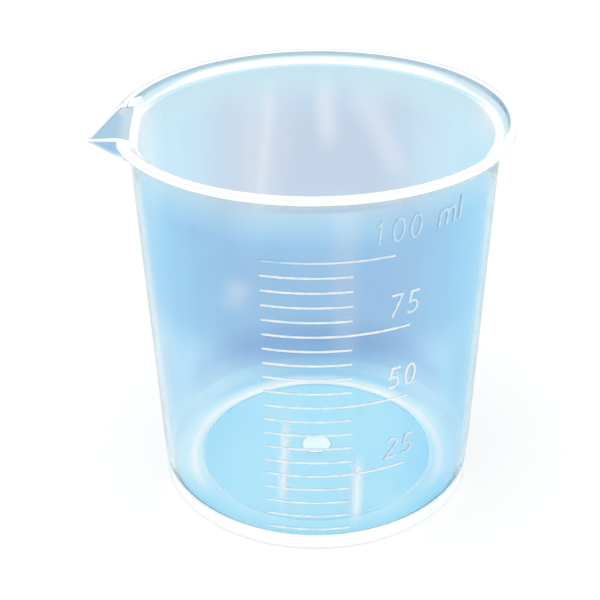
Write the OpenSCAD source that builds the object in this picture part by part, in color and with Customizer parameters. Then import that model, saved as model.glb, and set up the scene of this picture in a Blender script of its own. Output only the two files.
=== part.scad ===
// Tapered mixing cup, moulded in one piece from clear plastic: flared rim, V-shaped pouring lip,
// foot ring, and raised volume marks up the front. Millimetres, +Z up. The origin is on the cup's
// axis at the table. The pouring lip points near -X and the volume marks face -Y.

/* [Side wall] */
// Height from the table to the top of the rim
cup_h = 61.4; // [57:0.2:66]
// Outer radius of the side wall, carried down to the table
base_r = 25.45; // [24.5:0.05:27]
// Slope of the side wall from upright, in degrees
draft = 2; // [1:0.1:3]
// Thickness of the side wall
wall_t = 1; // [0.7:0.05:1.4]

/* [Foot and floor] */
// Width of the foot ring
foot_w = 5.95; // [5:0.05:8]
// Height of the floor's underside above the table
foot_recess = 0.5; // [0.3:0.05:0.8]
// Thickness of the floor
floor_t = 0.9; // [0.7:0.05:1.4]
// Radius of the foot's rounded outer edge
heel_r = 0.5; // [0.3:0.05:0.8]
// Radius of the rounded corner between floor and wall, inside
corner_r = 3.2; // [2:0.1:4]
// Width across the round gate mark in the middle of the floor
gate_d = 5.2; // [4:0.1:8]
// Height of the gate mark above the floor
gate_h = 0.45; // [0.2:0.05:0.8]

/* [Rim] */
// Depth from the rim's top down to the ledge on the wall's top
ledge_drop = 1.8; // [1.4:0.1:2.6]
// Width of the sloped flare between the wall and the band
flare_w = 1.04; // [0.8:0.02:1.6]
// Height of the flare's root on the wall, below the ledge
flare_root = 1.2; // [0.8:0.1:2]
// Width of the band's flat top
band_w = 1.1; // [0.8:0.05:1.8]
// Height of the band's outer side
band_h = 1; // [0.7:0.05:1.3]

/* [Pouring lip] */
// Turn of the lip from -X towards the volume marks, in degrees
lip_turn = 4.5; // [0:0.5:15]
// Half the angle that the lip takes out of the rim
lip_half = 15.5; // [12:0.5:20]
// Distance that the lip's tip stands out past the rim
lip_reach = 4.2; // [3:0.1:6]
// Depth of the tip below the rim's top
lip_dip = 2.95; // [2:0.05:3.5]
// Depth of the lip's keel below the rim's top, where it leaves the wall
lip_depth = 6.9; // [6:0.1:8]
// Thickness of the lip's sides
lip_t = 0.8; // [0.6:0.05:1.1]
// Length of the solid nose at the tip
lip_nose = 0.5; // [0.3:0.05:0.8]

/* [Volume lines] */
// Volume between two lines, in millilitres
line_ml = 5; // [5:5:10]
// Number of long lines, each with a numeral. The last of them is the top line
long_count = 4; // [2:1:5]
// Depth from the rim's top down to the top line
top_drop = 10.38; // [10:0.01:13]
// Width of a line
line_t = 0.3; // [0.2:0.05:0.5]
// Height of lines and numerals above the wall
relief = 0.25; // [0.15:0.05:0.4]
// Reach of every line to the left of the middle
line_left = 7.6; // [5:0.1:9]
// Reach of a short line to the right of the middle
line_right = 5.1; // [4:0.1:6]
// Reach of a long line to the right of the middle
long_right = 13.7; // [12:0.1:15]
// Reach of the top line to the right of the middle
top_right = 11; // [10:0.1:15]

/* [Numerals] */
// Height of a digit
digit_h = 3.7; // [3.2:0.1:4]
// Width of a digit
digit_w = 1.9; // [1.7:0.1:2.2]
// Distance from one digit to the next
digit_pitch = 2.65; // [2.4:0.01:3]
// Width of a stroke
stroke_t = 0.38; // [0.3:0.02:0.45]
// Lean of the digits to the right, in degrees
lean = 5; // [0:1:10]
// Distance along the wall from the middle of the marks to the right side of the numerals
numeral_right = 14.8; // [13.5:0.1:16]
// Gap between the lowest long line and its numeral
numeral_gap = 1.7; // [1.5:0.1:2.2]
// What this gap gains at each long line further up
gap_gain = 0.1; // [0:0.05:0.4]
// Gap between the top numeral and the unit
unit_gap = 2.9; // [2:0.1:3.2]
// Height of the unit's foot above the top numeral's
unit_lift = 0.45; // [0:0.05:0.8]
// Width of the unit's letter m
letter_m_w = 3.2; // [2.8:0.1:3.6]
// Height of the unit's letter m
letter_m_h = 2.6; // [2.2:0.1:3]

/* [Hidden] */
$fn = 96;
slope = tan(draft);
foot_r = base_r - foot_w;
// heights
floor_z = foot_recess + floor_t;
ledge_z = cup_h - ledge_drop;
root_z = ledge_z - flare_root;
band_z = cup_h - band_h;
// radii of the rim, from the wall outwards
band_in_r = wall_r(ledge_z) + flare_w;
rim_r = band_in_r + band_w;
// the lip's tip, the point where its keel meets the wall and the end of its top edge on the rim,
// each as [out, across, up] in the lip's own frame
tip = [rim_r + lip_reach, 0, cup_h - lip_dip];
keel = [wall_r(cup_h - lip_depth), 0, cup_h - lip_depth];
shoulder = [rim_r * cos(lip_half), rim_r * sin(lip_half), cup_h];
side_normal = unit(cross(shoulder - tip, keel - tip));
// the same three points on the inside of the lip
nose_rise = lip_nose * (shoulder.z - tip.z) / (tip.x - shoulder.x);
tip_in = tip + [-lip_nose, 0, nose_rise];
keel_in = keel + [0, 0, lip_t / abs(side_normal.z)];
shoulder_in = shoulder - [0, lip_t / abs(side_normal.y), 0];
// distance from the axis at which the lip's wedges end, inside the cup, and their top
wedge_back = 3 / 4 * base_r;
wedge_top = cup_h + lip_dip;
// the rounded inner corner: its centre and where it leaves the wall
corner_c = [bore_r(floor_z + corner_r) - corner_r / cos(draft), floor_z + corner_r];
corner_end = corner_c + corner_r * [cos(draft), -sin(draft)];
// volume that the rounded corner takes away, in cubic millimetres, and the distance of its middle
// from the corner's centre, as a part of the corner's radius
corner_mid = (1 / 6) / (1 - PI / 4);
corner_loss = (1 - PI / 4) * pow(corner_r, 2) * 2 * PI * (corner_c.x + corner_mid * corner_r);
// the last line of each group of five is a long one. The top line marks 100 ml in the real cup
group_count = 5;
long_ml = group_count * line_ml;
top_ml = long_count * long_ml;
top_z = cup_h - top_drop;

// shapes of the digits, as parts of their width or height, and turns of their bends in degrees
one_flag = [0.17, 0.74];
two_turns = [155, -35];
five_bar = 0.27;
five_stem = 0.18;
five_bowl = 0.25;
five_turns = [118, -125];
seven_foot = 0.3;
arch_turns = [150, 0];
// turn from one point to the next along a bend of a stroke, and round its end
arc_step = 15;
end_step = 30;
// sides of the circle that shapes the flat dome of the gate mark
dome_fn = 360;

LINES = [for (v = [line_ml:line_ml:top_ml]) v];
NUMERALS = [for (v = [long_ml:long_ml:top_ml]) v];

clear = [0.66, 0.82, 0.95, 0.55];
milky = [0.88, 0.96, 1.00, 0.80];
white = [0.97, 0.99, 1.00, 0.95];

function line_name(v) = str("line_", v, "_ml");
function numeral_name(v) = str("numeral_", v);
function unit(v) = v / norm(v);

// outer radius of the side wall at height z
function wall_r(z) = base_r + slope * z;

// inner radius of the side wall at height z
function bore_r(z) = wall_r(z) - wall_t;

// volume of the cup up to height z, in cubic millimetres: a cone's frustum without the corner
function fill_volume(z) = PI / 3 * (pow(bore_r(z), 3) - pow(bore_r(floor_z), 3)) / slope - corner_loss;

// height of the line for v millilitres, where the cup holds that part of what the top line marks
function fill_z(v) =
    let (volume = fill_volume(top_z) * v / top_ml + corner_loss)
    (pow(pow(bore_r(floor_z), 3) + 3 / PI * slope * volume, 1 / 3) - bore_r(0)) / slope;

// height of the foot of a numeral
function numeral_z(v) = fill_z(v) + numeral_gap + gap_gain * (v / long_ml - 1);

// angle round the cup, from the middle of the marks, of a distance along the wall at height z
function turn_at(along, z) = along / wall_r(z) * 180 / PI;

// Side wall with the rounded corner at its foot and a notch where the pouring lip starts
module cup_wall() {
    color(clear)
    difference() {
        rotate_extrude()
        union() {
            polygon([
                [corner_end.x, corner_end.y],
                [bore_r(floor_z), floor_z],
                [wall_r(floor_z), floor_z],
                [wall_r(ledge_z), ledge_z],
                [bore_r(ledge_z), ledge_z]
            ]);
            difference() {
                polygon([[corner_c.x, floor_z], [bore_r(floor_z), floor_z], corner_end]);
                translate(corner_c) circle(corner_r);
            }
        }
        in_lip_frame() wedge(tip_in, keel_in, shoulder_in);
    }
}

// Floor, raised off the table inside the foot ring
module cup_floor() {
    color(clear) translate([0, 0, foot_recess]) cylinder(r = foot_r, h = floor_t);
}

// Ring that the cup stands on, with a rounded outer edge
module foot_ring() {
    heel_c = [wall_r(heel_r) - heel_r / cos(draft), heel_r];
    heel_end = heel_c + heel_r * [cos(draft), -sin(draft)];
    color(white)
    rotate_extrude()
    union() {
        polygon([
            [foot_r, 0], [heel_c.x, 0], heel_c, heel_end,
            [wall_r(floor_z), floor_z], [foot_r, floor_z]
        ]);
        intersection() {
            translate(heel_c) circle(heel_r);
            polygon([heel_c, [heel_c.x, 0], [heel_end.x, 0], heel_end]);
        }
    }
}

// Small dome left on the floor where the plastic entered the mould
module gate_mark() {
    dome_r = (pow(gate_d / 2, 2) + pow(gate_h, 2)) / (2 * gate_h);
    color(white)
    translate([0, 0, floor_z])
    rotate_extrude()
    intersection() {
        translate([0, gate_h - dome_r]) circle(dome_r, $fn = dome_fn);
        square([gate_d / 2, gate_h]);
    }
}

// Sloped flare that carries the rim's band out from the wall
module rim_flare() {
    color(milky)
    difference() {
        rotate_extrude()
        polygon([
            [wall_r(root_z), root_z],
            [wall_r(ledge_z), ledge_z],
            [band_in_r, cup_h],
            [band_in_r, band_z]
        ]);
        in_lip_frame() wedge(tip, keel, shoulder);
    }
}

// Flat band round the outside of the rim
module rim_band() {
    color(white)
    difference() {
        translate([0, 0, band_z])
        difference() {
            cylinder(r = rim_r, h = band_h);
            translate([0, 0, -band_h]) cylinder(r = band_in_r, h = 3 * band_h);
        }
        in_lip_frame() wedge(tip, keel, shoulder);
    }
}

// Pouring lip: a V-shaped channel whose keel runs from the wall up to the tip
module pour_spout() {
    fall = atan2(shoulder.z - tip.z, tip.x - shoulder.x);
    color(milky)
    difference() {
        in_lip_frame()
        difference() {
            wedge(tip, keel, shoulder);
            wedge(tip_in, keel_in, shoulder_in);
            translate([0, -2 * rim_r, cup_h]) cube([3 * rim_r, 4 * rim_r, 2 * cup_h]);
            translate(shoulder)
            rotate([0, fall, 0])
            translate([0, -2 * rim_r, 0])
            cube([3 * rim_r, 4 * rim_r, 2 * cup_h]);
        }
        cylinder(r1 = base_r, r2 = wall_r(2 * cup_h), h = 2 * cup_h);
    }
}

// Turns a lip drawn along +X to where it belongs on the cup
module in_lip_frame() {
    rotate([0, 0, 180 + lip_turn]) children();
}

// Wedge with its edge along the keel, through the tip and both shoulders: a tetrahedron that
// ends inside the cup and above the rim
module wedge(tip, keel, shoulder) {
    n = cross(shoulder - tip, keel - tip);
    keel_slope = (tip.z - keel.z) / (tip.x - keel.x);
    back_z = tip.z + (wedge_back - tip.x) * keel_slope;
    front_x = tip.x + (wedge_top - tip.z) / keel_slope;
    half = -(n.x * (wedge_back - tip.x) + n.z * (wedge_top - tip.z)) / n.y;
    polyhedron(
        points = [
            [wedge_back, 0, back_z],
            [wedge_back, half, wedge_top],
            [wedge_back, -half, wedge_top],
            [front_x, 0, wedge_top]
        ],
        faces = [[0, 1, 2], [0, 2, 3], [0, 3, 1], [1, 3, 2]]
    );
}

// One raised line, for v millilitres
module volume_line(v) {
    z = fill_z(v);
    reach = v == top_ml ? top_right : v % long_ml == 0 ? long_right : line_right;
    left = turn_at(line_left, z);
    color(white)
    rotate([0, 0, -90 - left])
    rotate_extrude(angle = left + turn_at(reach, z))
    relief_profile(z - line_t / 2, z + line_t / 2);
}

// Raised numeral above its long line
module numeral(v) {
    text_v = str(v);
    start = numeral_right - digit_w - digit_pitch * (len(text_v) - 1);
    color(white)
    for (i = [0:len(text_v) - 1])
        on_wall(start + i * digit_pitch, digit_w, numeral_z(v)) digit(text_v[i]);
}

// Raised letters of the unit, after the top numeral
module unit_ml() {
    z = numeral_z(top_ml) + unit_lift;
    start = numeral_right + unit_gap;
    color(white) {
        on_wall(start, letter_m_w, z) letter_m();
        on_wall(start + letter_m_w + digit_pitch - digit_w, stroke_t, z) letter_l();
    }
}

// Puts a flat sign on the outside of the wall, with its left edge a distance along the wall
module on_wall(along, width, z) {
    mid_turn = turn_at(along + width / 2, z);
    intersection() {
        rotate_extrude() relief_profile(z - digit_h, z + 2 * digit_h);
        rotate([0, 0, mid_turn])
        translate([-width / 2, 4 * relief - wall_r(z), z])
        rotate([90, 0, 0])
        linear_extrude(8 * relief)
        lean_right() children();
    }
}

// Section of a raised mark between two heights, on the outside of the wall
module relief_profile(low, high) {
    polygon([
        [wall_r(low), low], [wall_r(low) + relief, low],
        [wall_r(high) + relief, high], [wall_r(high), high]
    ]);
}

// Leans a sign over to the right
module lean_right() {
    multmatrix([[1, tan(lean), 0, 0], [0, 1, 0, 0], [0, 0, 1, 0], [0, 0, 0, 1]]) children();
}

// Points along an arc about c, from angle a0 to a1
function arc(c, r, a0, a1) =
    let (steps = ceil(abs(a1 - a0) / arc_step))
    [for (i = [0:steps]) let (a = a0 + (a1 - a0) * i / steps) c + r * [cos(a), sin(a)]];

// Points beside a path, a distance to its left
function beside(path, d) = [
    for (i = [0:len(path) - 1])
        let (
            before = unit(path[max(i, 1)] - path[max(i, 1) - 1]),
            after = unit(path[min(i + 1, len(path) - 1)] - path[min(i, len(path) - 2)]),
            across = unit([-before.y - after.y, before.x + after.x])
        )
        path[i] + d / (across * [-before.y, before.x]) * across
];

// Stroke with round ends along a path
module stroke(path) {
    s = stroke_t / 2;
    first = path[1] - path[0];
    last = path[len(path) - 1] - path[len(path) - 2];
    out = atan2(last.y, last.x);
    back = atan2(-first.y, -first.x);
    left = beside(path, s);
    right = beside(path, -s);
    polygon(concat(
        left,
        [for (a = [90 - end_step:-end_step:end_step - 90]) path[len(path) - 1] + s * [cos(out + a), sin(out + a)]],
        [for (i = [len(right) - 1:-1:0]) right[i]],
        [for (a = [90 - end_step:-end_step:end_step - 90]) path[0] + s * [cos(back + a), sin(back + a)]]
    ));
}

// Oval outline
module oval(w, h) {
    polygon([for (a = [0:arc_step:359]) [w / 2 * cos(a), h / 2 * sin(a)]]);
}

// Digits of round figures, drawn in a box of digit_w by digit_h
module digit(c) {
    s = stroke_t / 2;
    w = digit_w;
    h = digit_h;
    if (c == "0")
        translate([w / 2, h / 2])
        difference() {
            oval(w, h);
            oval(w - 2 * stroke_t, h - 2 * stroke_t);
        }
    if (c == "1") {
        stroke([[w / 2, s], [w / 2, h - s]]);
        stroke([[w / 2, h - s - stroke_t], [one_flag.x * w, one_flag.y * h]]);
    }
    if (c == "2") {
        r = w / 2 - s;
        stroke(concat(
            arc([w / 2, h - s - r], r, two_turns[0], two_turns[1]),
            [[s, s], [w - s, s]]
        ));
    }
    if (c == "5") {
        r = five_bowl * h;
        stroke([[w - s, h - s], [five_bar * w, h - s], [five_stem * w, h / 2]]);
        stroke(arc([w - s - r, s + r], r, five_turns[0], five_turns[1]));
    }
    if (c == "7")
        stroke([[s, h - s], [w - s, h - s], [seven_foot * w, s]]);
}

// Small letter m
module letter_m() {
    s = stroke_t / 2;
    r = (letter_m_w - stroke_t) / 4;
    top = letter_m_h - s - r;
    stroke(concat([[s, s]], arc([s + r, top], r, 180, 0), [[s + 2 * r, s]]));
    stroke(concat(
        [[s + 2 * r, top - stroke_t]],
        arc([s + 3 * r, top], r, arch_turns[0], arch_turns[1]),
        [[s + 4 * r, s]]
    ));
}

// Small letter l
module letter_l() {
    stroke([[stroke_t / 2, stroke_t / 2], [stroke_t / 2, digit_h - stroke_t / 2]]);
}

cup_wall();
cup_floor();
foot_ring();
rim_flare();
rim_band();
pour_spout();
gate_mark();
for (v = LINES)
    volume_line(v);
for (v = NUMERALS)
    numeral(v);
unit_ml();
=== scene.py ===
# Dresses the clear mixing cup: one seamless moulded shell with its pouring lip, raised volume marks
# and numerals, and a plain pale studio. Lengths are in metres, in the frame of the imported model.
import math
from types import SimpleNamespace

import bmesh
import bpy
import numpy as np
from mathutils import Matrix, Vector


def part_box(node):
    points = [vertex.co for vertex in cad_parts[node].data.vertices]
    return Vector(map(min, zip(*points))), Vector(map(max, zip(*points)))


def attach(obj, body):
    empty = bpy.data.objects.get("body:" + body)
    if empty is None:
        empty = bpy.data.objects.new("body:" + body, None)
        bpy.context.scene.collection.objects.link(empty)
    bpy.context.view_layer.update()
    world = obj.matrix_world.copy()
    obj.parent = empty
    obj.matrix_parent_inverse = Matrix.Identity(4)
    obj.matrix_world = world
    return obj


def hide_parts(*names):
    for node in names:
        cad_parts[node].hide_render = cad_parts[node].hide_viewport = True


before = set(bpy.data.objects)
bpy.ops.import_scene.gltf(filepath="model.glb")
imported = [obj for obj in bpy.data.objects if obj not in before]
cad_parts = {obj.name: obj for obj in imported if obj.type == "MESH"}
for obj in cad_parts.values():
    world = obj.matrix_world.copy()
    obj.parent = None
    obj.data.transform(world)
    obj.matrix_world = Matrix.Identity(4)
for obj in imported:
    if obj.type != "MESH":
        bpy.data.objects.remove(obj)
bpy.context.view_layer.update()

MM = 0.001
# Vertices this close to each other are one, and vertices this close to a plane lie in it
MERGE = 0.002 * MM
LEVEL = 0.02 * MM

# The studio: the table top's size and its gap under the cup, and the tones of the light
TABLE_RADIUS = 1.6
TABLE_GAP = 0.02 * MM
STUDIO_GREY = (0.93, 0.93, 0.93, 1)
STUDIO_WHITE = (1, 1, 1, 1)

# The camera: a lens that looks down on the cup from the side of the volume lines
PICTURE_SIDE = 600
FOCAL_PIXELS = 1227.48
SENSOR_WIDTH = 36.0
CAMERA_DISTANCE = 196.487 * MM
CAMERA_ELEVATION = 0.5213
CAMERA_ROLL = -0.0134
CAMERA_PIVOT_Z = 30 * MM
CAMERA_TARGET = Vector((-2.481 * MM, 0, 29.754 * MM))


def points_of(node):
    """The vertices of a CAD node, one row each."""
    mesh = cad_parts[node].data
    flat = np.empty(3 * len(mesh.vertices), np.float32)
    mesh.vertices.foreach_get("co", flat)
    return flat.reshape(-1, 3).astype(float)


def radii_at(node, z):
    """The smallest and largest radius of a CAD node's vertices at a height."""
    points = points_of(node)
    level = points[np.abs(points[:, 2] - z) < LEVEL]
    radii = np.hypot(level[:, 0], level[:, 1])
    return radii.min(), radii.max()


# Sizes of the cup, read from the frame
RIM_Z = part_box("rim_band")[1].z
BAND_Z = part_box("rim_band")[0].z
BAND_R, RIM_R = radii_at("rim_band", RIM_Z)
LEDGE_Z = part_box("cup_wall")[1].z
BORE_TOP_R, WALL_TOP_R = radii_at("cup_wall", LEDGE_Z)
ROOT_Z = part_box("rim_flare")[0].z
FLOOR_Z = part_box("cup_floor")[1].z
RECESS_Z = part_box("cup_floor")[0].z
FOOT_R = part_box("cup_floor")[1].x
WALL_FOOT_R = radii_at("foot_ring", FLOOR_Z)[1]
WALL_T = WALL_TOP_R - BORE_TOP_R
SLOPE = (WALL_TOP_R - WALL_FOOT_R) / (LEDGE_Z - FLOOR_Z)


def wall_r(z):
    """Outer radius of the side wall at a height."""
    return WALL_FOOT_R + SLOPE * (z - FLOOR_Z)


def bore_r(z):
    """Inner radius of the side wall at a height."""
    return wall_r(z) - WALL_T


def wall_foot_corner():
    """Radius of the rounded corner between floor and wall, from where it meets the floor."""
    flat_r = radii_at("cup_wall", FLOOR_Z)[0]
    return (bore_r(FLOOR_Z) - flat_r) / (math.sqrt(1 + SLOPE ** 2) - SLOPE)


CORNER_R = wall_foot_corner()

# The pouring lip in its own frame: out, across and up
LIP = points_of("pour_spout")
LIP_FAR = LIP[np.hypot(LIP[:, 0], LIP[:, 1]).argmax()]
LIP_TURN = math.atan2(LIP_FAR[1], LIP_FAR[0])


def turned(points, angle):
    """Points turned about the cup's axis."""
    c, s = math.cos(angle), math.sin(angle)
    return points @ np.array([[c, s, 0], [-s, c, 0], [0, 0, 1]])


LIP_POINTS = turned(LIP, -LIP_TURN)
MIDDLE = LIP_POINTS[np.abs(LIP_POINTS[:, 1]) < LEVEL]
TIP = MIDDLE[MIDDLE[:, 0].argmax()]
KEEL = MIDDLE[MIDDLE[:, 2].argmin()]
INNER = MIDDLE[MIDDLE[:, 2] > KEEL[2] + 0.5 * MM]
INNER = INNER[INNER[:, 0] < TIP[0] - 0.1 * MM]
TIP_IN = INNER[INNER[:, 0].argmax()]
KEEL_IN = INNER[INNER[:, 0].argmin()]
TOP_EDGE = LIP_POINTS[LIP_POINTS[:, 2] > RIM_Z - LEVEL / 2]
AT_SHOULDER = TOP_EDGE[TOP_EDGE[:, 0] > TOP_EDGE[:, 0].max() - LEVEL / 2]
SHOULDER = AT_SHOULDER[AT_SHOULDER[:, 1].argmax()]
SHOULDER_IN = AT_SHOULDER[np.where(AT_SHOULDER[:, 1] > 0, AT_SHOULDER[:, 1], 1).argmin()]
OUTER_PLANE = np.cross(SHOULDER - TIP, KEEL - TIP)
INNER_PLANE = np.cross(SHOULDER_IN - TIP_IN, KEEL_IN - TIP_IN)
TOP_FALL = (SHOULDER[2] - TIP[2]) / (TIP[0] - SHOULDER[0])

# Rounding of the moulded shell's edges
EDGE_ROUND = 0.22 * MM
LEDGE_ROUND = 0.3 * MM
HEEL_ROUND = 0.5 * MM
ROOT_ROUND = 0.8 * MM
RECESS_ROUND = 0.1 * MM
FOOT_EDGE_ROUND = 0.15 * MM
LIP_EDGE_ROUND = 0.1 * MM
# The lip's sharp top edge is cut back this far
LIP_EDGE_BLUNT = 0.05 * MM
# Crossing planes blend over this height, and the lip's middle crease over this turn
SOFT = 0.12 * MM
KEEL_SOFT = 0.006
MARK_ROUND = 0.1 * MM
# The flat strip beside the trough: where it ends inward, how fast, and how steep its side falls
STRIP_END_R = WALL_TOP_R + 0.15 * MM
STRIP_END_WIDTH = 0.35 * MM
STRIP_FACE_SLOPE = 4

# Steps of the shell's mesh: close together near the lip, wider round the rest
LIP_SECTOR = math.radians(24)
LIP_STEP = math.radians(0.3)
RIM_STEP = math.radians(1.5)
# The wall is plain below this height, and the lip cuts into it above
PLAIN_Z = 53 * MM
LOW_HEIGHTS = [FLOOR_Z, 2.1 * MM, 2.6 * MM, 3.1 * MM]
PLAIN_HEIGHTS = list(np.linspace(5 * MM, PLAIN_Z, 21))
SLOPE_STEPS = 15
DISC_PARTS = (0.25, 0.5, 0.75, 0.9)
# Steps across the foot ring, outward from its inner edge, under it and on the floor above it
FOOT_STEPS = (0.3, 0.5, 0.7, 1, 1.2, 1.4, 1.6, 1.8, 2, 2.2, 2.5, 3.2, 4)
CORNER_STEPS = (1.8, 1.5, 1.2, 0.9, 0.7, 0.5)
FLOOR_STEPS = (0.3, 0.2, 0.1, 0, -0.1, -0.2, -0.3)

# The gate mark, from its middle out: share of its radius, share of its height
GATE_PROFILE = [
    (0, 1.0),
    (0.1, 0.98),
    (0.14, 0.8),
    (0.3, 0.84),
    (0.55, 0.72),
    (0.78, 0.45),
    (0.93, 0.2),
    (1, -0.1),
]
GATE_STEPS = 64

# How white the raised numerals are painted, between a faint blue and white: partly milky plastic, partly
# painted highlight
NUMERAL_HIGHLIGHT = {
    "numeral_25": 0.4,
    "numeral_50": 0.8,
    "numeral_75": 0.6,
    "numeral_100": 0.15,
    "unit_ml": 0.2,
}

# Shades of one thickness of the plastic, by where it is
WHITE = np.array((1.0, 1.0, 1.0))
WALL_SIDE = np.array((0.60, 0.83, 0.97))
WALL_MIDDLE = np.array((0.56, 0.665, 0.81))
# Painted sheen: a lighter tone high on the wall at its far left and right
WALL_EDGE_SHEEN = np.array((0.74, 0.93, 0.99))
# Painted shade: a deeper tone on the wall at its far right
WALL_RIGHT_EDGE_SHADE = np.array((0.56, 0.83, 0.95))
WALL_LOW_FRONT = np.array((0.95, 0.995, 1.0))
WALL_LOW_BACK = np.array((0.46, 0.66, 0.87))
FLOOR_TOP = np.array((0.92, 0.98, 1.0))
FLOOR_BOTTOM = np.array((0.24, 0.67, 0.945))
CORNER_BACK = np.array((0.42, 0.72, 0.92))
CORNER_SIDE = np.array((0.80, 0.96, 1.0))
CORNER_FRONT = np.array((0.40, 0.78, 0.96))
HEEL_BACK = np.array((0.60, 0.82, 0.96))
FOOT_BACK = np.array((0.26, 0.66, 0.92))
FOOT_SIDE = np.array((0.60, 0.90, 1.0))
FOOT_FRONT = np.array((0.97, 1.0, 1.0))
FLARE_SHADE = np.array((0.76, 0.93, 1.0))
# Painted shade: dark lines along the heel's bottom edge and the rim's outer edge, bluer behind
EDGE_LINE_PAINTED_SHADE = np.array((0.52, 0.66, 0.63))
EDGE_BACK_PAINTED_SHADE = np.array((0.30, 0.47, 0.60))
# Painted shade: a dark line low on the band's side at the front
RIM_FOOT_PAINTED_SHADE = np.array((0.50, 0.64, 0.62))
SLOPE_SHADE = np.array((0.62, 0.80, 0.86))
# Painted shade: a darker outline on the outer part of the slope
SLOPE_PAINTED_OUTLINE = np.array((0.34, 0.48, 0.58))
SLOPE_LINE = np.array((0.82, 0.92, 0.93))
LEDGE_SHADE = np.array((0.55, 0.77, 0.84))
TROUGH_BACK = np.array((0.46, 0.58, 0.66))
TROUGH_FRONT = np.array((0.42, 0.68, 0.92))
# Painted shade: a darker tone in the trough's crease beside the strips
TROUGH_CREASE_SHADE = np.array((0.30, 0.46, 0.60))
LIP_SIDE_SHADE = np.array((0.40, 0.70, 0.95))
MARK_FAINT = np.array((0.50, 0.76, 0.92))

# How milky the plastic is: 0 lets all light through, 1 scatters all of it
CLEAR = 0.04
CLEAREST = 0.03
HAZY = 0.06
CLOUDED = 0.1
SOFT_WHITE = 0.7
MILK_WHITE = 0.85
WHITEST = 0.9

# The white band at the foot ends at this height; the ring under the floor is a painted highlight out to
# this radius, with a painted glow fading out beyond it
HEEL_BAND_Z = 2.8 * MM
RING_OUT = FOOT_R + 1.4 * MM
RING_PAINTED_GLOW = 2.6 * MM

# Painted reflection streaks, faint vertical bands of light on the wall: direction and height at both
# ends, half width in degrees, strength
REFLECTION_STREAKS = [
    (106.0, 57 * MM, 112.0, 34 * MM, 3.0, 0.5),
    (110.0, 59 * MM, 114.0, 30 * MM, 9.0, 0.25),
    (87.0, 58 * MM, 85.0, 46 * MM, 3.4, 0.45),
    (75.5, 57 * MM, 57.0, 42 * MM, 5.0, 0.35),
    (78.0, 34 * MM, 77.0, 3 * MM, 4.5, 0.5),
    (-99.5, 25 * MM, -101.7, 9 * MM, 1.4, 0.8),
    (-76.4, 17 * MM, -76.6, 5 * MM, 1.6, 0.9),
    (-112.5, 47 * MM, -115.5, 43 * MM, 3.5, 0.5),
]


def smooth(value, low, high):
    """Rises smoothly from 0 to 1 as a value goes from low to high."""
    t = min(max((value - low) / (high - low), 0), 1)
    return t * t * (3 - 2 * t)


def blend(a, b, t):
    return a + (b - a) * t


def soft_min(a, b):
    """The smaller of two heights, with the corner between them rounded."""
    h = max(SOFT - abs(a - b), 0) / SOFT
    return min(a, b) - h * h * SOFT / 4


def soft_max(a, b):
    """The larger of two heights, with the corner between them rounded."""
    return -soft_min(-a, -b)


def on_plane(normal, point, r, turn):
    """Height of one of the lip's planes at a radius and a turn from the lip's direction."""
    u = r * math.cos(turn)
    v = r * math.sin(turn)
    return (normal @ point - normal[0] * u - normal[1] * v) / normal[2]


def outer_z(r, turn):
    return on_plane(OUTER_PLANE, TIP, r, turn)


def inner_z(r, turn):
    return on_plane(INNER_PLANE, TIP_IN, r, turn)


def edge_point(low, high, turn):
    """Where a straight top edge, from the lip's tip to its shoulder, crosses a turn."""
    across = math.tan(turn)
    t = (low[0] * across - low[1]) / (high[1] - low[1] - (high[0] - low[0]) * across)
    x, y, z = low + t * (high - low)
    return math.hypot(x, y), min(z, RIM_Z)


def crossing_z(height, radius, turn, low, high):
    """Height at which a plane of the lip meets a wall, between two heights."""
    for _ in range(40):
        z = (low + high) / 2
        if height(radius(z), turn) > z:
            low = z
        else:
            high = z
    return (low + high) / 2


def rim_top(r):
    """Height of the rim's upper side away from the lip."""
    rise = (RIM_Z - LEDGE_Z) / (BAND_R - WALL_TOP_R)
    return soft_min(RIM_Z, soft_max(LEDGE_Z, LEDGE_Z + (r - WALL_TOP_R) * rise))


def cover_z(r, turn):
    """Height of the rim and of the lip's sides, before the trough is cut into them."""
    past_plane = max(outer_z(r, turn) - RIM_Z, 0)
    strip_end = min(max((STRIP_END_R - r) / STRIP_END_WIDTH, 0), 1)
    strip = RIM_Z - STRIP_FACE_SLOPE * past_plane - (RIM_Z - LEDGE_Z) * strip_end
    fall = RIM_Z - (r * math.cos(turn) - SHOULDER[0]) * TOP_FALL
    return soft_min(min(soft_max(rim_top(r), strip), RIM_Z), fall)


def top_z(r, turn):
    """Height of the moulding's upper side over the rim and the lip."""
    if turn > LIP_SECTOR:
        return rim_top(r)
    return soft_min(cover_z(r, turn), inner_z(r, turn))


def trough_edge_r(turn):
    """Radius at which the trough's side meets the flat top of the rim, beyond the inner shoulder."""
    u = SHOULDER_IN[0] + np.linspace(0, -3 * MM, 400)
    v = SHOULDER_IN[1] - (u - SHOULDER_IN[0]) * INNER_PLANE[0] / INNER_PLANE[1]
    nearest = np.abs(np.arctan2(v, u) - turn).argmin()
    return math.hypot(u[nearest], v[nearest])


def arc_points(back, here, ahead, radius, steps):
    """A corner of a section replaced by an arc, as large as its two sides allow."""
    to_back, to_ahead = back - here, ahead - here
    back_len = max(np.linalg.norm(to_back), 1e-9)
    ahead_len = max(np.linalg.norm(to_ahead), 1e-9)
    to_back, to_ahead = to_back / back_len, to_ahead / ahead_len
    half = math.acos(min(max(to_back @ to_ahead, -1), 1)) / 2
    reach = min(radius / max(math.tan(half), 1e-3), 0.45 * back_len, 0.45 * ahead_len)
    start, end = here + to_back * reach, here + to_ahead * reach
    weight = math.sin(half)
    points = []
    for step in range(steps + 1):
        t = step / steps
        parts = ((1 - t) ** 2, 2 * t * (1 - t) * weight, t ** 2)
        points.append((parts[0] * start + parts[1] * here + parts[2] * end) / sum(parts))
    return points


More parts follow.
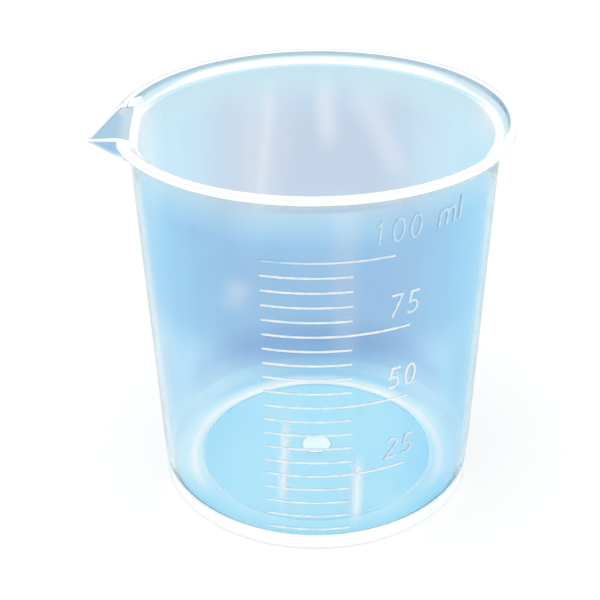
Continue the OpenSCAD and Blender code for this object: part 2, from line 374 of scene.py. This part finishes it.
def rim_shape(turn, in_lip):
    """What changes in the section from the plain rim to the lip: the outermost top edge, the
    heights where the outside turns, and the places and rounding of the outer side."""
    shape = SimpleNamespace(
        out_r=RIM_R,
        out_z=RIM_Z,
        strip_r=BAND_R,
        band_low=BAND_Z,
        shoulder_low=BAND_Z,
        side_z=blend(BAND_Z, RIM_Z, 0.5),
        wall_z=ROOT_Z,
        inner_top_z=LEDGE_Z,
        side_parts=(0.15, 0.3),
        side="band",
        side_foot="band foot",
        edge_round=EDGE_ROUND,
        crest=0.12,
    )
    if not in_lip:
        return shape
    shape.wall_z = min(ROOT_Z, crossing_z(outer_z, wall_r, turn, PLAIN_Z, RIM_Z))
    shape.inner_top_z = min(LEDGE_Z, crossing_z(inner_z, bore_r, turn, PLAIN_Z, RIM_Z))
    shape.band_low = min(BAND_Z, outer_z(RIM_R, turn))
    shape.shoulder_low = min(BAND_Z, outer_z(BAND_R, turn))
    if shape.band_low < BAND_Z - 0.3 * MM:
        shape.side_foot = "lip side"
    tip_r, tip_z = edge_point(TIP, SHOULDER, turn)
    if tip_z >= RIM_Z - 1e-7:
        return shape
    if tip_r > RIM_R:
        shape.out_r = tip_r - LIP_EDGE_BLUNT
        shape.out_z = tip_z
        shape.side_z = min(max(outer_z(RIM_R, turn), shape.band_low), RIM_Z)
        shape.side_parts = (0.3, 0.9)
        shape.side = "lip side"
        shape.edge_round = LIP_EDGE_ROUND
        shape.crest = 0.3
    if turn < math.atan2(SHOULDER_IN[1], SHOULDER_IN[0]):
        shape.strip_r = max(edge_point(TIP_IN, SHOULDER_IN, turn)[0], BAND_R)
    else:
        shape.strip_r = max(trough_edge_r(turn), BAND_R)
    return shape


def section(turn):
    """The moulding's section at a turn from the lip's direction, from the middle of the underside,
    round the outside, over the rim and down to the middle of the floor: radius, height and place."""
    in_lip = turn < LIP_SECTOR
    turn = math.hypot(turn, KEEL_SOFT)
    rim = rim_shape(turn, in_lip)
    bore_top = bore_r(rim.inner_top_z)
    chain = []
    corners = {}

    def add(r, z, place, radius=0, steps=0):
        if radius:
            corners[len(chain)] = (radius, steps)
        chain.append((r, z, place))

    add(0, RECESS_Z, "underside")
    for part in DISC_PARTS:
        add(FOOT_R * part, RECESS_Z, "underside")
    add(FOOT_R - 0.25 * MM, RECESS_Z, "underside")
    add(FOOT_R, RECESS_Z, "foot", RECESS_ROUND, 3)
    add(FOOT_R, 0, "foot", FOOT_EDGE_ROUND, 4)
    for step in FOOT_STEPS:
        add(FOOT_R + step * MM, 0, "foot")
    add(wall_r(0), 0, "heel", HEEL_ROUND, 6)
    for z in LOW_HEIGHTS + PLAIN_HEIGHTS:
        add(wall_r(z), z, "wall")
    add(wall_r(rim.wall_z), rim.wall_z, "flare", ROOT_ROUND, 5)
    add(BAND_R, rim.shoulder_low, "flare", EDGE_ROUND, 3)
    add(RIM_R, rim.band_low, rim.side_foot, EDGE_ROUND, 4)
    add(RIM_R, blend(rim.band_low, rim.side_z, 0.35), rim.side)
    add(RIM_R, rim.side_z, rim.side)
    for part in rim.side_parts:
        add(blend(RIM_R, rim.out_r, part), blend(rim.side_z, rim.out_z, part), rim.side)
    add(rim.out_r, rim.out_z, "rim edge", rim.edge_round, 5)
    for part, place in ((rim.crest, "rim crest"), (rim.crest + 0.2, "top"), (0.7, "top"), (0.9, "top")):
        r = blend(rim.out_r, rim.strip_r, part)
        add(r, top_z(r, turn), place)
    for part in np.linspace(0, 1, SLOPE_STEPS):
        r = blend(rim.strip_r, WALL_TOP_R, part)
        add(r, top_z(r, turn), "slope")
    for part in (0.08, 0.2, 0.4, 0.6):
        r = blend(WALL_TOP_R, bore_top, part)
        add(r, top_z(r, turn), "ledge")
    add(bore_top, rim.inner_top_z, "ledge", LEDGE_ROUND, 5)
    # The lowest height is left out here, which gives the corner room to round
    for z in reversed(PLAIN_HEIGHTS[1:]):
        add(bore_r(z), z, "wall")
    add(bore_r(FLOOR_Z), FLOOR_Z, "corner", CORNER_R, 14)
    for step in CORNER_STEPS:
        add(FOOT_R + step * MM, FLOOR_Z, "corner")
    for step in FLOOR_STEPS:
        add(FOOT_R + step * MM, FLOOR_Z, "floor")
    for part in reversed(DISC_PARTS):
        add(FOOT_R * part, FLOOR_Z, "floor")
    add(0, FLOOR_Z, "floor")

    points = []
    for i, (r, z, place) in enumerate(chain):
        if i in corners:
            before, here, after = (np.array(chain[k][:2]) for k in (i - 1, i, i + 1))
            points += [(q[0], q[1], place) for q in arc_points(before, here, after, *corners[i])]
        else:
            points.append((r, z, place))
    return points


def reflection_streaks(direction, z):
    """Strength of the painted reflection streaks at a direction, in degrees, and a height."""
    strength = 0
    for top_turn, top, low_turn, low, half_width, peak in REFLECTION_STREAKS:
        along = (top - z) / (top - low)
        off = abs((direction - blend(top_turn, low_turn, along) + 180) % 360 - 180) / half_width
        fade = smooth(along, -0.12, 0.18) * (1 - smooth(along, 0.75, 1.2))
        strength = max(strength, peak * fade * (1 - smooth(off, 0, 2)))
    return strength


def wall_look(x, y, z):
    """Shade and milkiness of the side wall."""
    r = math.hypot(x, y)
    side = smooth(abs(x) / r, 0.35, 0.95)
    upper = blend(WALL_MIDDLE, WALL_SIDE, max(side, 0.5 * smooth(z, 48 * MM, 58 * MM)))
    deep = (0.85 if x > 0 else 0.45) * side
    lower = blend(WALL_SIDE, WALL_LOW_FRONT, smooth(-y / r, -0.2, 0.6) * (1 - deep))
    lower = blend(lower, WALL_LOW_BACK, smooth(y / r, 0.3, 0.7) * (1 - smooth(z, 7 * MM, 13 * MM)))
    # Painted sheen high on the wall at its far left and right
    upper = blend(upper, WALL_EDGE_SHEEN, smooth(abs(x) / r, 0.9, 0.99) * smooth(z, 35 * MM, 50 * MM))
    shade = blend(lower, upper, smooth(z, 30 * MM, 38 * MM))
    # Painted shade at the wall's far right
    shade = blend(shade, WALL_RIGHT_EDGE_SHADE, 0.8 * smooth(x / r, 0.85, 0.97))
    # Painted reflection: the streaks whiten the wall and make it milkier, most of all on the front
    streaks = reflection_streaks(math.degrees(math.atan2(y, x)), z)
    return blend(shade, WHITE, 0.8 * streaks), CLEAR + blend(0.15, 0.6, smooth(-y / r, 0, 0.5)) * streaks


def ring_painted_highlight(r, toward_front):
    """How strong the painted highlight on the foot ring is near its inner edge, which shows through the
    floor: the painted white fades outward and toward the front."""
    inside = smooth(r, FOOT_R + 0.75 * MM, FOOT_R + 1.1 * MM)
    at_side = 1 - smooth(-toward_front, 0.4, 0.9)
    out = RING_OUT + 0.6 * MM * at_side
    core = blend(1, inside, at_side) * (1 - smooth(r, out, out + 0.3 * MM))
    glow = blend(0.6, 0.4, at_side) * inside * (1 - smooth(r, RING_OUT, RING_OUT + RING_PAINTED_GLOW))
    return max(core, glow) * (1 - smooth(toward_front, 0.3, 0.9))


def floor_look(r, toward_front):
    """The floor's upper side, with a thin painted highlight line over the foot ring's inner edge."""
    thin = 1 - smooth(abs(r - FOOT_R), 0.08 * MM, 0.3 * MM)
    return blend(FLOOR_TOP, WHITE, thin), CLEAR + 0.4 * thin * smooth(toward_front, -0.5, 0)


def corner_look(r, toward_front, at_back):
    """The rounded corner between floor and wall, and the floor beside it."""
    outer = blend(CORNER_SIDE, CORNER_BACK, at_back)
    shade = blend(FLOOR_TOP, outer, smooth(r, FOOT_R + 1.2 * MM, FOOT_R + 3 * MM))
    # Painted highlight: the foot ring's white carried into the corner above it
    shade = blend(shade, WHITE, (1 - at_back) * ring_painted_highlight(r, toward_front))
    return blend(shade, CORNER_FRONT, smooth(toward_front, 0.2, 0.7)), CLEAR


def foot_look(r, toward_front, at_back):
    """The foot ring's flat underside."""
    shade = blend(FOOT_SIDE, FOOT_BACK, at_back)
    shade = blend(shade, FOOT_FRONT, smooth(toward_front, 0.3, 0.85))
    # Painted highlight: the foot ring's underside is painted white near its inner edge
    return blend(shade, WHITE, ring_painted_highlight(r, toward_front)), CLEAREST


def slope_look(x, r, toward_front):
    """The slope inside the band: white toward the front, blue with a painted darker outline at the back.
    """
    part = (r - WALL_TOP_R) / (BAND_R - WALL_TOP_R)
    low = blend(0.05, 0.4, smooth(-toward_front, 0.45, 0.8))
    reach = 0.25 if x > 0 else 0
    blue = smooth(part, low, low + 0.3) * (1 - smooth(part, 0.98, 1.1))
    blue *= 1 - smooth(toward_front, reach - 0.1, reach + 0.15)
    clear = smooth(toward_front, 0.3, 0.6)
    # Painted shade: the slope's blue darkens into an outline toward the band
    blue_shade = blend(SLOPE_SHADE, SLOPE_PAINTED_OUTLINE, smooth(part, 0.5, 0.85))
    line = smooth(part, 0.25, 0.4) * (1 - smooth(part, 0.5, 0.65)) * clear
    shade = blend(blend(WHITE, blue_shade, blue), SLOPE_LINE, line)
    return shade, blend(blend(SOFT_WHITE, 0.6, blue), CLOUDED, clear)


def ledge_look(toward_front):
    """The ledge on top of the wall, white at the sides."""
    behind = smooth(-toward_front, 0.1, 0.5)
    clear = max(behind, smooth(toward_front, 0.3, 0.6))
    return blend(WHITE, LEDGE_SHADE, behind), blend(0.8, 0.4, clear)


def lip_look(shade, milk, r, turn, lip_front):
    """The look of the rim's upper side, changed where the trough and the strips beside it lie."""
    depth = cover_z(r, turn) - inner_z(r, turn)
    start = blend(0.35 * MM, 0.02 * MM, smooth(r, BAND_R - 0.2 * MM, RIM_R + 0.3 * MM))
    trough = smooth(depth, start, start + 0.18 * MM) * smooth(r, WALL_TOP_R, WALL_TOP_R + 0.15 * MM)
    crease = (1 - smooth(depth, 0.2 * MM, 0.6 * MM)) * smooth(r, RIM_R, RIM_R + 0.6 * MM)
    trough_shade = blend(TROUGH_BACK, TROUGH_FRONT, lip_front)
    # Painted shade: the trough darkens where it is shallow out on the lip, on its back half
    trough_shade = blend(trough_shade, TROUGH_CREASE_SHADE, crease * (1 - lip_front))
    strip = smooth(cover_z(r, turn) - rim_top(r), 0.05 * MM, 0.25 * MM) * (1 - trough) * (r < BAND_R)
    shade, milk = blend(shade, WHITE, strip), blend(milk, MILK_WHITE, strip)
    return blend(shade, trough_shade, trough), blend(milk, HAZY, trough)


def look(x, y, z, turn, place):
    """Shade of one thickness of the plastic at a point, and how milky it is."""
    r = math.hypot(x, y)
    toward_front = -y / max(r, MM)
    front_half = smooth(toward_front, -0.2, 0.3)
    at_back = smooth(-toward_front, 0.4, 0.9)
    # Partly real, partly painted light: the thick heel and band are milky, and their whiter front is
    # painted glow from light bent through the thick plastic
    milk_and_front_glow = blend(CLOUDED, WHITEST, smooth(toward_front, 0.05, 0.5))
    lip_front = smooth(math.sin(math.atan2(y, x) - LIP_TURN), -0.01, 0.01)
    # Painted light: the heel is white toward the front and keeps a blue tint behind
    heel_tint_and_front_glow = blend(HEEL_BACK, WHITE, front_half)
    if place == "floor":
        return floor_look(r, toward_front)
    if place == "underside":
        return FLOOR_BOTTOM, CLEAREST
    if place == "corner":
        return corner_look(r, toward_front, at_back)
    if place == "foot":
        return foot_look(r, toward_front, at_back)
    if place == "heel":
        # Painted shade: a dark line along the heel's bottom edge, toward the front
        edge = (1 - smooth(z, 0.1 * MM, 0.3 * MM)) * front_half
        return blend(heel_tint_and_front_glow, EDGE_LINE_PAINTED_SHADE, edge), milk_and_front_glow
    if place == "wall":
        shade, milk = wall_look(x, y, z)
        heel = 1 - smooth(z, HEEL_BAND_Z - 0.25 * MM, HEEL_BAND_Z + 0.1 * MM)
        return blend(shade, heel_tint_and_front_glow, heel), blend(milk, milk_and_front_glow, heel)
    if place == "flare":
        return FLARE_SHADE, HAZY
    if place == "band foot":
        # Painted shade: a dark line low on the band's side, toward the front
        under = (1 - smooth(z, BAND_Z + 0.06 * MM, BAND_Z + 0.16 * MM)) * front_half
        return blend(WHITE, RIM_FOOT_PAINTED_SHADE, under), blend(1, 0.6, under) * milk_and_front_glow
    if place in ("rim edge", "rim crest"):
        # Painted shade: a dark outline along the rim's outer edge, strongest behind
        behind = 1 - lip_front if turn < LIP_SECTOR else smooth(-toward_front, -0.1, 0.5)
        outline = blend(0.4, 1, behind) if place == "rim edge" else behind
        return blend(WHITE, blend(EDGE_LINE_PAINTED_SHADE, EDGE_BACK_PAINTED_SHADE, behind), outline), MILK_WHITE
    if place == "lip side":
        return LIP_SIDE_SHADE, 0.12
    if place == "band":
        return WHITE, milk_and_front_glow
    shade, milk = WHITE, MILK_WHITE
    if place == "slope":
        shade, milk = slope_look(x, r, toward_front)
    if place == "ledge":
        shade, milk = ledge_look(toward_front)
    if turn < LIP_SECTOR:
        shade, milk = lip_look(shade, milk, r, turn, lip_front)
    return shade, milk


def shell_mesh():
    """The whole moulding as one closed mesh, with the shade and milkiness of each point."""
    fine = list(np.arange(0, LIP_SECTOR, LIP_STEP))
    coarse = list(np.arange(LIP_SECTOR, math.pi - RIM_STEP / 2, RIM_STEP))
    half = fine + coarse
    turns = [-t for t in reversed(half[1:])] + half + [math.pi]
    mesh = bmesh.new()
    shade_layer = mesh.verts.layers.float_color.new("shade")
    milk_layer = mesh.verts.layers.float.new("milk")
    rings = []
    for turn in turns:
        angle = LIP_TURN + turn
        ring = []
        for r, z, place in section(abs(turn)):
            x, y = r * math.cos(angle), r * math.sin(angle)
            vert = mesh.verts.new((x, y, z))
            shade, milk = look(x, y, z, abs(turn), place)
            vert[shade_layer] = (*shade, 1)
            vert[milk_layer] = milk
            ring.append(vert)
        rings.append(ring)
    for ring, after in zip(rings, rings[1:] + rings[:1]):
        for k in range(len(ring) - 1):
            mesh.faces.new((ring[k], after[k], after[k + 1], ring[k + 1]))
    bmesh.ops.remove_doubles(mesh, verts=mesh.verts, dist=MERGE)
    bmesh.ops.recalc_face_normals(mesh, faces=mesh.faces)
    return mesh


def object_from(mesh, name, material, smooth_faces=True):
    """A scene object made of a bmesh."""
    data = bpy.data.meshes.new(name)
    mesh.to_mesh(data)
    mesh.free()
    data.polygons.foreach_set("use_smooth", [smooth_faces] * len(data.polygons))
    data.materials.append(material)
    obj = bpy.data.objects.new(name, data)
    bpy.context.scene.collection.objects.link(obj)
    return obj


class Nodes:
    """A material's node tree, built up one node at a time."""

    def __init__(self, name):
        self.material = bpy.data.materials.new(name)
        self.material.use_nodes = True
        self.tree = self.material.node_tree
        self.shader = self.tree.nodes["Principled BSDF"]

    def add(self, kind, **settings):
        node = self.tree.nodes.new(kind)
        for key, value in settings.items():
            if key in node.inputs:
                node.inputs[key].default_value = value
            else:
                setattr(node, key, value)
        return node

    def link(self, source, target):
        self.tree.links.new(source, target)

    def stretched(self, scale):
        """Object coordinates stretched by a scale on each axis."""
        place = self.add("ShaderNodeTexCoord")
        mapping = self.add("ShaderNodeMapping", Scale=scale)
        self.link(place.outputs["Object"], mapping.inputs["Vector"])
        return mapping.outputs["Vector"]

    def noise(self, scale, detail=3.0):
        node = self.add("ShaderNodeTexNoise", Scale=1.0, Detail=detail)
        self.link(self.stretched(scale), node.inputs["Vector"])
        return node.outputs["Fac"]

    def mapped(self, value, low, high, to_low, to_high):
        """A value's range mapped smoothly to another."""
        node = self.add("ShaderNodeMapRange", interpolation_type="SMOOTHSTEP")
        self.link(value, node.inputs["Value"])
        ends = {"From Min": low, "From Max": high, "To Min": to_low, "To Max": to_high}
        for key, number in ends.items():
            node.inputs[key].default_value = number
        return node.outputs["Result"]

    def multiply_colour(self, colour, other, factor):
        """A colour multiplied by another one, as far as a factor says."""
        node = self.add("ShaderNodeMix", data_type="RGBA", blend_type="MULTIPLY")
        self.link(factor, node.inputs["Factor"])
        self.link(colour, node.inputs["A"])
        node.inputs["B"].default_value = (*other, 1)
        return node.outputs["Result"]

    def bump(self, height, strength, distance):
        node = self.add("ShaderNodeBump", Strength=strength, Distance=distance)
        self.link(height, node.inputs["Height"])
        self.link(node.outputs["Normal"], self.shader.inputs["Normal"])


def clear_plastic():
    """Clear, faintly blue polypropylene that turns milky where it is thick; its shade and milk
    attributes also carry painted light and shade.
    """
    n = Nodes("clear_plastic")
    shade = n.add("ShaderNodeAttribute", attribute_name="shade")
    milk = n.add("ShaderNodeAttribute", attribute_name="milk")
    cloud = n.mapped(n.noise((70, 70, 45), 2.0), 0.4, 0.75, 0, 1)
    clouded = n.multiply_colour(shade.outputs["Color"], (0.95, 0.98, 1.0), cloud)
    streak = n.mapped(n.noise((420, 420, 12), 2.0), 0.45, 0.8, 0, 1)
    streaked = n.multiply_colour(clouded, (0.965, 0.98, 0.985), streak)
    n.link(streaked, n.shader.inputs["Base Color"])
    n.link(n.mapped(milk.outputs["Fac"], 0, 1, 1, 0), n.shader.inputs["Transmission Weight"])
    n.link(n.mapped(n.noise((300, 300, 300)), 0.35, 0.7, 0.03, 0.09), n.shader.inputs["Roughness"])
    n.shader.inputs["IOR"].default_value = 1.15
    n.bump(n.noise((240, 240, 90)), 0.05, 0.3 * MM)
    return n.material


def milky_plastic():
    """The same plastic where it cooled last, round the gate, and is white all through."""
    n = Nodes("milky_plastic")
    n.shader.inputs["Base Color"].default_value = (0.97, 0.99, 1, 1)
    n.shader.inputs["Roughness"].default_value = 0.2
    n.bump(n.noise((1800, 1800, 1800), 2.0), 0.2, 0.05 * MM)
    return n.material


def raised_plastic():
    """The same plastic where it is raised into a line or a digit, and scatters more light; each mark's
    whiteness is partly painted highlight.
    """
    n = Nodes("raised_plastic")
    shade = n.add("ShaderNodeAttribute", attribute_name="shade")
    patches = n.mapped(n.noise((900, 900, 900), 2.0), 0.4, 0.65, 0, 1)
    patchy = n.multiply_colour(shade.outputs["Color"], (0.78, 0.92, 0.99), patches)
    n.link(patchy, n.shader.inputs["Base Color"])
    n.shader.inputs["Transmission Weight"].default_value = 0.15
    n.shader.inputs["Roughness"].default_value = 0.12
    n.shader.inputs["IOR"].default_value = 1.4
    n.bump(n.noise((2500, 2500, 2500), 2.0), 0.2, 0.05 * MM)
    return n.material


def any_of(nodes, *outputs):
    """The largest of some node outputs."""
    result = outputs[0]
    for other in outputs[1:]:
        node = nodes.new("ShaderNodeMath")
        node.operation = "MAXIMUM"
        nodes.id_data.links.new(result, node.inputs[0])
        nodes.id_data.links.new(other, node.inputs[1])
        result = node.outputs[0]
    return result


def seen_rays(nodes):
    """1 for rays that see the background straight, in gloss or through the plastic."""
    path = nodes.new("ShaderNodeLightPath").outputs
    return any_of(nodes, path["Is Camera Ray"], path["Is Glossy Ray"], path["Is Transmission Ray"])


def floor_material():
    """Pale floor that is near white to the camera and in the plastic, and keeps the shadow."""
    n = Nodes("pale_floor")
    n.tree.nodes.remove(n.shader)
    path = n.add("ShaderNodeLightPath").outputs
    straight = n.mapped(path["Is Camera Ray"], 0, 1, 0, 0.7)
    through = any_of(n.tree.nodes, path["Is Glossy Ray"], path["Is Transmission Ray"])
    bent = n.mapped(through, 0, 1, 0, 0.95)
    share = any_of(n.tree.nodes, straight, bent)
    diffuse = n.add("ShaderNodeBsdfDiffuse", Color=STUDIO_GREY)
    glow = n.add("ShaderNodeEmission", Color=STUDIO_WHITE, Strength=1.0)
    mix = n.add("ShaderNodeMixShader")
    n.link(share, mix.inputs["Fac"])
    n.link(diffuse.outputs[0], mix.inputs[1])
    n.link(glow.outputs[0], mix.inputs[2])
    n.link(mix.outputs[0], n.tree.nodes["Material Output"].inputs["Surface"])
    return n.material


def make_floor():
    """A round table top just under the cup."""
    mesh = bmesh.new()
    bmesh.ops.create_circle(mesh, cap_ends=True, segments=96, radius=TABLE_RADIUS)
    floor = object_from(mesh, "floor", floor_material(), smooth_faces=False)
    floor.location.z = -TABLE_GAP


def make_world():
    """Even pale light all round, which is white where a camera ray or the plastic shows it."""
    world = bpy.data.worlds.new("studio")
    bpy.context.scene.world = world
    world.use_nodes = True
    tree = world.node_tree
    soft = tree.nodes["Background"]
    soft.inputs["Color"].default_value = STUDIO_GREY
    white = tree.nodes.new("ShaderNodeBackground")
    white.inputs["Color"].default_value = STUDIO_WHITE
    mix = tree.nodes.new("ShaderNodeMixShader")
    tree.links.new(seen_rays(tree.nodes), mix.inputs["Fac"])
    tree.links.new(soft.outputs[0], mix.inputs[1])
    tree.links.new(white.outputs[0], mix.inputs[2])
    tree.links.new(mix.outputs[0], tree.nodes["World Output"].inputs["Surface"])


def area_light(name, place, size, power):
    """A rectangular lamp that faces the middle of the cup."""
    light = bpy.data.lights.new(name, "AREA")
    light.shape = "RECTANGLE"
    light.size, light.size_y = size
    light.energy = power
    lamp = bpy.data.objects.new(name, light)
    lamp.location = place
    middle = Vector((0, 0, RIM_Z / 2))
    lamp.rotation_euler = (middle - Vector(place)).to_track_quat("-Z", "Y").to_euler()
    bpy.context.scene.collection.objects.link(lamp)


def make_lights():
    area_light("key", (-0.12, -0.12, 0.75), (0.3, 0.3), 1.6)
    area_light("fill", (0.55, -0.2, 0.45), (0.2, 0.5), 0.6)


def make_camera():
    """The photograph's view: the eye turns about a point over the table and looks at the cup."""
    camera = bpy.data.cameras.new("camera")
    camera.sensor_width = SENSOR_WIDTH
    camera.lens = FOCAL_PIXELS / PICTURE_SIDE * SENSOR_WIDTH
    camera.clip_start = 0.01
    eye = Vector((
        0,
        -CAMERA_DISTANCE * math.cos(CAMERA_ELEVATION),
        CAMERA_PIVOT_Z + CAMERA_DISTANCE * math.sin(CAMERA_ELEVATION),
    ))
    back = (eye - CAMERA_TARGET).normalized()
    across = Vector((0, 0, 1)).cross(back).normalized()
    upward = back.cross(across)
    right = math.cos(CAMERA_ROLL) * across + math.sin(CAMERA_ROLL) * upward
    up = math.cos(CAMERA_ROLL) * upward - math.sin(CAMERA_ROLL) * across
    turn = Matrix((right, up, back)).transposed()
    obj = bpy.data.objects.new("camera", camera)
    obj.matrix_world = Matrix.Translation(eye) @ turn.to_4x4()
    bpy.context.scene.collection.objects.link(obj)
    bpy.context.scene.camera = obj


PLASTIC = clear_plastic()
RAISED = raised_plastic()
MILKY = milky_plastic()


def make_shell():
    shell = object_from(shell_mesh(), "moulded_shell", PLASTIC)
    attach(shell, "root")
    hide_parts("cup_wall", "cup_floor", "foot_ring", "rim_flare", "rim_band", "pour_spout")


def mark_highlight(name, x, z):
    """How white a raised mark is painted, partly as painted highlight: the lines are whitest above the
    middle of the cup, and the top one fades out at its left end."""
    if name == "line_100_ml":
        return 0.7 * smooth(x, -9 * MM, 4 * MM)
    if name.startswith("line_"):
        return blend(0.75, 0.9, smooth(z, 28 * MM, 36 * MM))
    return NUMERAL_HIGHLIGHT[name]


def softened(name):
    """A raised mark with the edges of its face rounded over."""
    mesh = bmesh.new()
    mesh.from_mesh(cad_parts[name].data)
    bmesh.ops.remove_doubles(mesh, verts=mesh.verts, dist=MERGE)
    bmesh.ops.dissolve_limit(mesh, angle_limit=math.radians(1), verts=mesh.verts, edges=mesh.edges)
    raised = {v for v in mesh.verts if v.co.xy.length > wall_r(v.co.z) + 0.1 * MM}
    edges = [e for e in mesh.edges if set(e.verts) <= raised and e.calc_face_angle(0) > math.radians(50)]
    bmesh.ops.bevel(
        mesh, geom=edges, offset=MARK_ROUND, segments=3, profile=0.5, affect="EDGES", clamp_overlap=True
    )
    shade_layer = mesh.verts.layers.float_color.new("shade")
    for v in mesh.verts:
        # Painted highlight: each mark's whiteness stands partly for the light its raised edges catch
        v[shade_layer] = (*blend(MARK_FAINT, WHITE, mark_highlight(name, v.co.x, v.co.z)), 1)
    return object_from(mesh, "soft_" + name, RAISED)


def make_marks():
    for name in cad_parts:
        if name.startswith(("line_", "numeral_", "unit_")):
            mark = softened(name)
            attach(mark, "root")
            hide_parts(name)


def make_gate_mark():
    """The low dome in the middle of the floor, with the small stub that the gate left."""
    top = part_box("gate_mark")[1].z
    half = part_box("gate_mark")[1].x
    mesh = bmesh.new()
    rings = []
    for part, height in GATE_PROFILE:
        z = FLOOR_Z + (top - FLOOR_Z) * height
        rings.append([
            mesh.verts.new((half * part * math.cos(a), half * part * math.sin(a), z))
            for a in np.linspace(0, 2 * math.pi, GATE_STEPS, endpoint=False)
        ])
    for inner, outer in zip(rings, rings[1:]):
        for k in range(GATE_STEPS):
            after = (k + 1) % GATE_STEPS
            mesh.faces.new((inner[k], outer[k], outer[after], inner[after]))
    mesh.faces.new(reversed(rings[-1]))
    bmesh.ops.remove_doubles(mesh, verts=mesh.verts, dist=MERGE)
    bmesh.ops.recalc_face_normals(mesh, faces=mesh.faces)
    dome = object_from(mesh, "gate_dome", MILKY)
    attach(dome, "root")
    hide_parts("gate_mark")


make_camera()
make_world()
make_lights()
make_floor()
make_shell()
make_marks()
make_gate_mark()

bpy.context.scene.view_settings.view_transform = "Standard"
bpy.context.view_layer.update()
